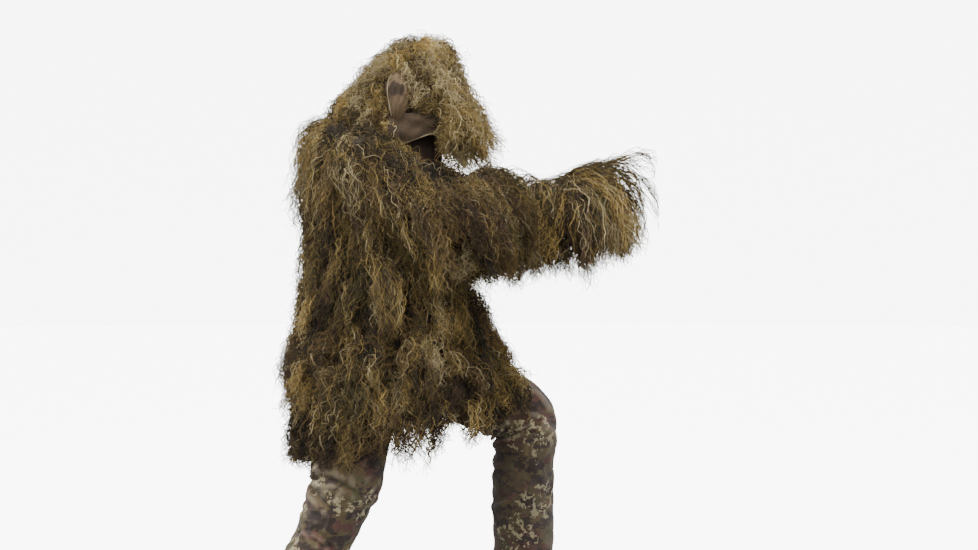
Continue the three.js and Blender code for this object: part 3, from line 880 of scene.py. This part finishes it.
def belly(root, normal):
    """The yarn stands further off over the belly and the hips, and lies close on the shoulders."""
    front = 1.3 * smooth(normal[:, 0], 0.2, 0.9) * smooth(-root[:, 2], 0.3, 0.42)
    hips = 1.3 * bump(root[:, 2], -0.62, 0.08)
    shoulders = 0.6 * smooth(-normal[:, 0], 0.2, 0.9) * bump(root[:, 2], -0.16, 0.12)
    return 1 + front + hips - shoulders


def nape(root, normal):
    """The hood's yarn lies close at the back, and stands up to a peak on top."""
    peak = bump(root[:, 0], 0.09, 0.06) * smooth(normal[:, 2], 0.4, 0.9)
    brow = 0.5 * smooth(root[:, 0], 0.13, 0.17) * smooth(root[:, 2], 0.18, 0.24)
    behind = 0.5 * smooth(-root[:, 0], 0.0, 0.06)
    return 1 - 0.6 * smooth(-normal[:, 0], 0.2, 0.8) * (1 - behind) - behind + 2.3 * peak - brow


def outer(root, normal):
    """A sleeve's yarn lies close on top."""
    return 1 - 0.9 * smooth(normal[:, 2], 0.2, 0.8)


def torso_yarn():
    arms = (*UPPER.values(), *FORE.values())
    for i, (tier, (rows, length, lift, light)) in enumerate(TIERS.items()):
        for j, (part, angles) in enumerate(zip(("front_left", "back", "front_right"), lengths(FRONT))):
            seed = 100 + 10 * i + j
            locks = grow(TORSO, rows, angles, 0.0276, length, lift, seed, arms, more=belly)
            if tier == "skirt":
                fringe = grow(TORSO, (7.8, 8.0), angles, 0.017, (0.11, 0.17), (0.002, 0.02), seed + 8)
                locks = join(locks, fringe)
            if tier == "yoke" and part != "back":
                # A thick ruff below the chin.
                ruff = grow(TORSO, (1.6, 2.9), angles, 0.024, (0.10, 0.17), (0.03, 0.065), seed + 7,
                            arms, drift=(0.6, 0, 0), out=1.0)
                locks = join(locks, ruff)
            yarn_piece("jacket", f"yarn_{tier}_{part}", locks, seed, hem_line, light)
    # One long pale lock hangs below the right elbow.
    r = np.random.default_rng(190)
    count = 26
    t, angle = r.uniform(4.15, 4.6, count), r.uniform(-1.62, -1.32, count)
    root = TORSO.points(t, angle)
    way = TORSO.normals(t, angle)
    lift = r.uniform(0.05, 0.085, count)
    guides = hang(TORSO, root, way, r.uniform(0.2, 0.27, count), lift, (0, 0, 0), 0.06, 191)
    guides = gather(guides, 0.3, 0.8, 192)[0]
    path, stray = strands_of(guides, np.ones(count), 14, 0.014, 0.0058, 193)
    tint = pick_colours(guides, np.arange(count) // 2, 14, 194, -0.6)
    lock = strand_mesh("yarn_elbow_lock_strands", within(path), tint, stray, 195)
    finish_piece(lock, "yarn", "jacket")


def hood_yarn():
    def bare(p):
        """Whether a place is on the hood's bare edge or ear cover."""
        x, y, z = p.T
        edge = (x < 0.16) & (z < 0.09)
        ear = (x < 0.08) & (z > 0.08) & (z < 0.20)
        return (y < -0.05) & (x > 0.02) & (edge | ear)

    # Rows, angles, tone, lengths, how far the locks stand off, and which way they blow. The crown and brow are
    # paler with a painted highlight on the top of the hood, where the light falls.
    areas = {
        "crown": ((3.0, 6.0), (0, TAU), 2.7, (0.07, 0.13), (0.018, 0.046), (0.2, 0, 0)),
        "brow": ((0.7, 3.0), (-0.95, 0.95), 2.4, (0.13, 0.24), (0.006, 0.047), (0.75, 0, 0)),
        "left": ((0.0, 3.0), (0.95, math.pi), 0.6, (0.07, 0.13), (0.004, 0.034), (-0.1, 0, 0)),
        "right": ((0.0, 3.0), (-math.pi, -0.95), 0.6, (0.07, 0.13), (0.004, 0.034), (-0.1, 0, 0)),
    }
    loose = {"skip": bare, "wild": 0.2, "tufts": 0.042}
    for k, (area, (t_range, angles, light, length, lift, drift)) in enumerate(areas.items()):
        seed = 300 + 10 * k
        stiff, settle = (0.75, 0.8) if area == "crown" else (0.62, 0.0)
        locks = grow(HOOD, t_range, angles, 0.021, length, lift, seed, out=0.9, drift=drift, draw=0.7,
                     more=nape, stiff=stiff, fall=0.1, settle=settle, **loose)
        if area == "crown":
            # Close together at the very top.
            tip = grow(HOOD, (4.9, 6.0), angles, 0.012, (0.07, 0.12), (0.012, 0.03), 360, out=1.0,
                       draw=0.5, stiff=0.75, fall=0.0, **loose)
            locks = join(locks, tip)
        if area == "brow":
            # Straight down beside the opening.
            cheek = grow(HOOD, (0.7, 2.1), (-1.05, -0.45), 0.018, (0.13, 0.21), (0.006, 0.04), 350,
                         out=0.9, drift=(0.1, 0, 0), fall=0.1, **loose)
            locks = join(locks, cheek)
        yarn_piece("hood", f"hood_yarn_{area}", locks, seed, cheek_line, light, 11, 0.011, 0.0060)


# How each sleeve's yarn blows forward, the forearm's tone, and how long its locks and the cuff's are.
SLEEVES = {
    "right": (0.4, 0.2, (0.13, 0.24), (0.15, 0.24)),
    "left": (0.15, 0.35, (0.22, 0.36), (0.28, 0.42)),
}


def sleeve_yarn():
    torso, round_it, lift = (TORSO,), (0, TAU), (0.004, 0.034)
    for k, (side, (blow, light, length, reach)) in enumerate(SLEEVES.items()):
        seed = 500 + 50 * k
        drift = (blow, 0, 0)
        locks = grow(UPPER[side], (-0.3, 1.0), round_it, 0.027, (0.13, 0.23), lift, seed, torso,
                     drift=drift, along=0.5, more=outer)
        yarn_piece(f"upper_sleeve_{side}", f"yarn_upper_{side}", locks, seed, sleeve_line, 0.35)
        locks = grow(FORE[side], (-0.25, 1.0), round_it, 0.025, length, lift, seed + 20, torso,
                     drift=drift, along=0.4, tufts=0.065, draw=0.75, more=outer)
        # More of it springs from the cuff and falls forward over the hand.
        plume = grow(FORE[side], (0.75, 1.0), round_it, 0.014, reach, (0.002, 0.02), seed + 30,
                     drift=(0.1, 0, 0), along=2.6, out=0.3, stiff=0.82, fall=0.5, wild=0.07,
                     tufts=0.060, draw=0.8, more=outer)
        locks = join(locks, plume)
        yarn_piece(f"forearm_sleeve_{side}", f"yarn_fore_{side}", locks, seed + 20, sleeve_line, light)


# ------ jacket cloth


def net(rows, columns, low=0.0, high=TAU, around=True):
    """Grids of v (0 to 1 down the rows) and of angle."""
    v = np.linspace(0, 1, rows)[:, None] + np.zeros((1, columns))
    angle = np.linspace(low, high, columns, endpoint=not around)[None, :] + np.zeros((rows, 1))
    return v, angle


def jacket_cloth():
    zip_edge = math.radians(3.2)
    names = ("front_panel_left", "back_panel", "front_panel_right")
    for k, (name, (low, high)) in enumerate(zip(names, lengths(zip_edge))):
        v, angle = net(90, 120, low, high, False)
        fold = 0.004 * waves(angle / TAU, v, 9, 40 + k, 0.5, 5) * smooth(v, 0, 0.3)
        points = TORSO.points(v * 8, angle, fold)
        cloth(f"{name}_cloth", points, "jacket_cloth", "jacket", [name], around=False, material=NET)
    v, angle = net(70, 120)
    points = TORSO.points(v * 7.9, angle, -0.006 + 0.002 * waves(angle / TAU, v, 7, 45, 0.5, 4))
    front = abs((angle[0] + math.pi) % TAU - math.pi) < zip_edge * 2
    points = np.roll(points, -int(front.argmax()), axis=1)
    cloth("jacket_lining", points, "lining", "jacket")


FACE_LIFT = 0.75  # how far up the rows the hood's edge rises over the face


def hood_cloth():
    v, angle = net(60, 96)
    low = FACE_LIFT * smooth(np.cos(angle), 0.1, 0.95)
    t = low + (6 - low) * v
    crease = 0.002 * waves(angle / TAU, v, 7, 50)
    cloth("hood_shell_cloth", HOOD.points(t, angle, crease), "jacket_cloth", "hood", ["hood_shell"],
          material=NET)
    inner = HOOD.points(np.minimum(t, 5.8), angle, crease - 0.005)
    cloth("hood_lining", inner, "lining", "hood")
    # The neck guard hangs inside the hood and leaves the face open.
    v, angle = net(40, 80, 0.48, TAU - 0.48, False)
    fall = 0.090 - 0.150 * v
    reach = 1 + 0.03 * waves(angle / TAU, v, 8, 52, 0.5, 3)
    x = 0.035 + (0.175 - 0.035 * v) * reach * np.cos(angle)
    y = (0.112 + 0.008 * v) * reach * np.sin(angle)
    lift = -0.25 * (x - 0.035)
    cloth("neck_guard", np.stack([x, y, fall + lift * v], -1), "lining", "hood", around=False)


def piping(name, line, radius):
    """A round edging sewn along a line of points."""
    rim = tube_arrays(line[None], np.full((1, len(line)), radius), 8)
    finish_piece(new_object(name, mesh_from(name, *rim)), "lining", "hood", material=THREAD)


def hood_trim():
    """The bare edge along the right of the face opening, and the bare oval over the ear."""
    # The edge, in metres: u runs forward and v down.
    v, u = net(24, 60, 0, 1, False)
    x = 0.020 + 0.150 * u + 0.006 * v
    top, low = 0.088 + 0.012 * u, -0.012 + 0.058 * u
    z = top + (low - top) * v
    y = -0.150 - 0.012 * np.sin(math.pi * v) + 0.030 * smooth(u, 0.45, 1.0)
    y = y + 0.003 * waves(u, v, 6, 55, 0.5, 2) - 0.002 * smooth(v, 0.90, 0.94)
    points = np.stack([x, y, z], -1)
    cloth("hood_edge", points, "jacket_cloth", "hood", around=False, thick=0.002, material=EDGE_IN_PAINTED_SHADE)
    piping("hood_edge_rim", points[-1] + np.array([0, -0.0012, 0.001]), 0.0022)
    stitches("hood_edge_stitches", points[-5] + np.array([0, -0.0016, 0]), "hood")
    # The oval swells from the hood's side.
    v, u = net(40, 30, -1, 1, False)
    half = 0.036 * np.sqrt(np.clip(1 - (2 * v - 1) ** 2, 0.02, 1))
    t = 0.40 + 2.55 * v
    middle, _, depth, _, _ = HOOD.at(t)
    swell = 0.026 + 0.026 * (1 - u**2) * (1 - (2 * v - 1) ** 4) + 0.0015 * waves(u, v, 6, 56)
    angle = -np.arccos(np.clip((0.046 + half * u - middle) / (depth + swell), -1, 1))
    points = HOOD.points(t, angle, swell)
    cloth("ear_cover", points, "jacket_cloth", "hood", ["hood_ear_patch"], around=False, thick=0.002)
    piping("ear_cover_rim", points[2:-2, 3] + np.array([0, -0.0012, 0]), 0.0019)
    stitches("ear_cover_stitches", points[2:-2, 6] + np.array([0, -0.0010, 0]), "hood")


def sleeve_cloth():
    for k, side in enumerate(SIDES):
        v, angle = net(50, 48)
        fold = 0.004 * waves(angle / TAU, v, 8, 60 + k, 1, 5)
        upper = UPPER[side].points(-0.28 + v * 1.28, angle, fold)
        fore = FORE[side].points(-0.1 + v * 1.1, angle, fold * 0.8)
        for part, body, points in (("upper", "upper_sleeve", upper), ("fore", "forearm_sleeve", fore)):
            node = f"sleeve_{part}_{side}"
            cloth(f"{node}_cloth", points, "jacket_cloth", f"{body}_{side}", [node], material=NET)
        # The cuff is gathered on elastic into small pleats.
        v, angle = net(40, 240)
        swell = 0.004 * np.sin(math.pi * v) + 0.0016 * np.sin(44 * angle + 2 * np.sin(3 * angle))
        channels = -0.0016 * (bump(v, 0.2, 0.05) + bump(v, 0.5, 0.05) + bump(v, 0.8, 0.05))
        cuff = FORE[side].points(1.0 + 0.115 * v, angle, swell + channels)
        cloth(f"cuff_{side}_cloth", cuff, SLOTS[f"cuff_{side}"], f"forearm_sleeve_{side}",
              [f"cuff_{side}"], thick=0.0022)


def collar_cloth():
    v, angle = net(36, 120)
    ridge = 0.0012 * smooth(v, 0.90, 0.93) + 0.0012 * smooth(0.10 - v, 0, 0.03)
    points = COLLAR.points(v, angle, ridge + 0.0015 * waves(angle / TAU, v, 6, 58, 0.5, 2))
    cloth("collar_cloth", points, SLOTS["collar"], "jacket", ["collar"], thick=0.0026)
    for k, row in enumerate((0.13, 0.86)):
        line = COLLAR.points(np.full(200, row), np.linspace(0.1, TAU - 0.1, 200), 0.0008)
        stitches(f"collar_stitches_{k + 1}", line, "jacket")


# ------ trousers

BEND = {"right": 0.12, "left": 0.075}  # how far from the knee each leg's bend starts
HEM_BELOW = 0.012  # how far a leg reaches past the middle of its hem
SMOOTHINGS = 24  # of the folds, to find their ridges
KNEE_BLEND = 0.09  # a leg bends smoothly over this far either side of the knee


def leg_points(side, rows, columns):
    """One trouser leg from the hip to the hem, bent round the knee, with how worn each point is; this also carries
    a painted highlight on the kneecap and painted shade on the left shin.
    """
    thigh, shin = THIGH[side], SHIN[side]
    knee, corner = pivot(f"knee_{side}"), BEND[side]
    hip, hem = thigh.start, shin.end + shin.axis * HEM_BELOW
    a = knee + unit(hip - knee) * corner
    b = knee + unit(hem - knee) * corner
    length = np.array([np.linalg.norm(hip - a), corner * 1.8, np.linalg.norm(hem - b)])
    ends = np.concatenate([[0], np.cumsum(length)]) / length.sum()
    v = np.linspace(0, 1, rows)
    middle = np.zeros((rows, 3))
    one, three = v < ends[1], v > ends[2]
    two = ~(one | three)
    middle[one] = hip + (a - hip) * (v[one] / ends[1])[:, None]
    middle[three] = b + (hem - b) * ((v[three] - ends[2]) / (1 - ends[2]))[:, None]
    q = ((v[two] - ends[1]) / (ends[2] - ends[1]))[:, None]
    middle[two] = a * (1 - q) ** 2 + knee * 2 * q * (1 - q) + b * q**2
    along = unit(np.gradient(middle, axis=0))
    across = unit(np.cross(np.array([0.0, 1.0, 0.0]), along))
    up = np.cross(along, across)
    knee_at = (ends[1] + ends[2]) / 2
    radius = np.where(
        v < knee_at,
        np.interp(v, [0, knee_at], [thigh.first, thigh.last]),
        np.interp(v, [knee_at, 1], [shin.first, shin.last]),
    )
    v, angle = net(rows, columns)
    off = leg_folds(side, v, angle, knee_at)
    turned = np.cos(angle)[..., None] * across[:, None] + np.sin(angle)[..., None] * up[:, None]
    points = middle[:, None] + (radius[:, None] + off)[..., None] * turned
    # Ridges and the kneecap are rubbed pale; on the kneecap this is also a painted highlight.
    soft = off.copy()
    for _ in range(SMOOTHINGS):
        soft = (soft + np.roll(soft, 1, 1) + np.roll(soft, -1, 1)) / 3
        soft[1:-1] = (soft[:-2] + soft[1:-1] + soft[2:]) / 3
    wear = smooth(off - soft, 0.0003, 0.0026) * (0.35 + 0.65 * bump(v, knee_at, 0.13))
    # Painted shade on the left shin, carried as wear below nothing.
    if side == "left":
        wear = wear - 0.4 * smooth(v, knee_at, knee_at + 0.12)
    return points, wear


def leg_folds(side, v, angle, knee_at):
    """How far the cloth of a leg stands off its smooth shape."""
    seed, deep = (70, 0.55) if side == "right" else (80, 0.65)
    u = angle / TAU
    back = np.cos(angle)  # 1 behind the knee, -1 on the kneecap
    off = 0.005 * waves(u, v, 8, seed, 0.5, 3.0)
    # Deep folds stacked behind the knee, which fade to the front.
    behind = smooth(back, -0.5, 0.9)
    folds = [(-0.085, 0.009, 0.018), (-0.038, 0.014, 0.014), (0.040, 0.014, 0.014), (0.090, 0.010, 0.018)]
    for k, (place, depth, width) in enumerate(folds):
        slant = 0.045 * np.sin(angle + k * 1.3 + seed)
        off = off - deep * depth * bump(v, knee_at + place + slant, width) * behind
        off = off + deep * depth * 0.7 * bump(v, knee_at + place + slant + 1.6 * width, width) * behind
    # The thigh's cloth folds over the shin's in one sharp crease from behind the knee.
    crease = v - knee_at - 0.006 - 0.020 * np.sin(angle * 2 + seed)
    sharp = smooth(back, -0.95, 0.3)
    off = off + deep * sharp * (0.009 * bump(crease, -0.016, 0.014) - 0.015 * bump(crease, 0.004, 0.007))
    # Pulls that run from the kneecap round to the back of the shin, and up the thigh.
    for k in range(6):
        at = knee_at + (0.085 + 0.062 * k if k < 5 else -0.11)
        slant = (0.06 + 0.02 * k) * np.cos(angle + 0.9 * k + seed)
        part = 0.45 + 0.55 * np.sin(angle + k * 2.1 + seed)
        off = off + 0.0050 * bump(v, at + slant, 0.013) * part
        off = off - 0.0045 * bump(v, at + slant - 0.021, 0.011) * part
    # Fine creases, gathered at the knee.
    off = off + (0.0010 + 0.0016 * bump(v, knee_at, 0.10)) * waves(u, v, 16, seed + 3, 6, 18)
    # The kneecap fills the cloth.
    off = off + 0.008 * bump(v, knee_at - 0.01, 0.05) * smooth(-back, 0.2, 1)
    # A lapped seam down each side, and the turned-up hem.
    for seam in (math.pi / 2, 3 * math.pi / 2):
        off = off + 0.0012 * smooth(0.055 - abs(angle - seam), 0, 0.012)
    return off + 0.0014 * smooth(v, 0.955, 0.958)


def trousers():
    sewn = {"slot": "camouflage_cloth", "material": DARK_THREAD}
    for side in SIDES:
        points, wear = leg_points(side, 330, 148)
        knee = pivot(f"knee_{side}")
        start = knee - THIGH[side].axis * KNEE_BLEND
        end = knee + SHIN[side].axis * KNEE_BLEND
        blend = (f"thigh_leg_{side}", f"shin_leg_{side}", tuple(start), tuple(end))
        nodes = [f"thigh_{side}", f"shin_{side}", f"hem_{side}"]
        cloth(f"trouser_leg_{side}", points, "camouflage_cloth", replaces=nodes, blend=blend, wear=wear)
        middle = points.mean(1)
        for k, column in enumerate((34, 40, 108, 114)):
            line = points[10:-4, column]
            line = line + unit(line - middle[10:-4]) * 0.0004
            stitches(f"seam_stitches_{side}_{k + 1}", line, blend=blend, **sewn)
        ring = np.concatenate([points[-14], points[-14, :1]])
        ring = ring + unit(ring - middle[-14]) * 0.0004
        stitches(f"hem_stitches_{side}", ring, f"shin_leg_{side}", **sewn)
    v, angle = net(60, 120)
    points = SEAT.points(v * 3.6, angle, 0.003 * waves(angle / TAU, v, 7, 90))
    cloth("seat_cloth", points, "camouflage_cloth", "jacket", ["seat_panel"])


def carried_over():
    """CAD nodes that keep their shape get their material."""
    for name, obj in frame["nodes"].items():
        obj.data.materials.clear()
        obj.data.materials.append(MATERIALS[SLOTS[name]])


def small_cloth():
    """Small pieces of cloth as in the CAD, but with rounded edges."""
    bodies = frame["record"]["behaviour"]["bodies"]
    body_of = {node: body for body, nodes in bodies.items() for node in nodes}
    for node in ("waistband", "hanger_loop", *(f"belt_loop_{k}" for k in range(1, 6))):
        obj = new_object(f"{node}_cloth", frame["nodes"][node].data.copy())
        remesh = obj.modifiers.new("remesh", "REMESH")
        remesh.mode, remesh.voxel_size = "VOXEL", 0.0022 if node == "waistband" else 0.0010
        obj.modifiers.new("smooth", "SMOOTH").iterations = 3
        apply_modifiers(obj)
        finish_piece(obj, SLOTS[node], body_of[node], [node])


# ------ stage, light and camera


def stage():
    """A white floor inside a wide white dome. They glow, but the suit isn't lit by them."""
    white = Nodes("backdrop")
    white.set(Base_Color=(0.9, 0.9, 0.9, 1), Roughness=0.9)
    white.set(Emission_Color=(1, 1, 1, 1), Emission_Strength=7.0)
    floor, dome, sides, rows = -1.45, 26.0, 64, 20
    v, angle = net(rows, sides)
    rise = v * math.pi / 2 * 0.99
    for name, reach, height in (("dome", np.cos(rise), np.sin(rise)), ("floor", v[::-1], 0 * v)):
        flat = [dome * reach * np.cos(angle), dome * reach * np.sin(angle)]
        points = np.stack([*flat, floor + dome * height], -1).reshape(-1, 3)
        obj = new_object(name, mesh_from(name, points, grid_quads(rows, sides, True)))
        obj.data.materials.append(white.material)
        obj.visible_diffuse = obj.visible_glossy = obj.visible_shadow = False


def look(place, aim):
    return (Vector(aim) - Vector(place)).to_track_quat("-Z", "Y").to_euler()


def area_light(name, place, aim, power, size, colour):
    data = bpy.data.lights.new(name, "AREA")
    data.energy, data.size, data.color = power, size, colour
    obj = new_object(name, data)
    obj.location = place
    obj.rotation_euler = look(place, aim)


def sky():
    """Soft light from all round, strongest from above."""
    world = bpy.data.worlds.new("world")
    n = Nodes(world, "Background")
    place = n.add("ShaderNodeTexCoord", {}).outputs["Generated"]
    height = n.add("ShaderNodeSeparateXYZ", {0: place}).outputs["Z"]
    span = {"Value": height, "From Min": -0.6, "From Max": 0.9, "To Min": 0.12, "To Max": 2.2}
    n.set(Strength=n.add("ShaderNodeMapRange", span).outputs["Result"], Color=(1, 1, 1, 1))
    bpy.context.scene.world = world


def lights_and_camera():
    sky()
    area_light("key", (-0.5, -2.2, 4.6), (0.1, 0, -0.3), 220, 1.6, (1, 0.98, 0.95))
    area_light("fill", (3.6, -3.0, 1.2), (0.2, 0, -0.5), 30, 3.0, (1, 1, 1))
    data = bpy.data.cameras.new("camera")
    data.lens, data.sensor_width = 50, 36
    camera = new_object("camera", data)
    aim, distance = (0.314, 0.0, -0.3775), 4.1
    camera.location = (aim[0], -distance, aim[2])
    camera.rotation_euler = look(camera.location, aim)
    bpy.context.scene.camera = camera


lights_and_camera()
stage()
carried_over()
small_cloth()
jacket_cloth()
hood_cloth()
hood_trim()
collar_cloth()
sleeve_cloth()
trousers()
torso_yarn()
hood_yarn()
sleeve_yarn()
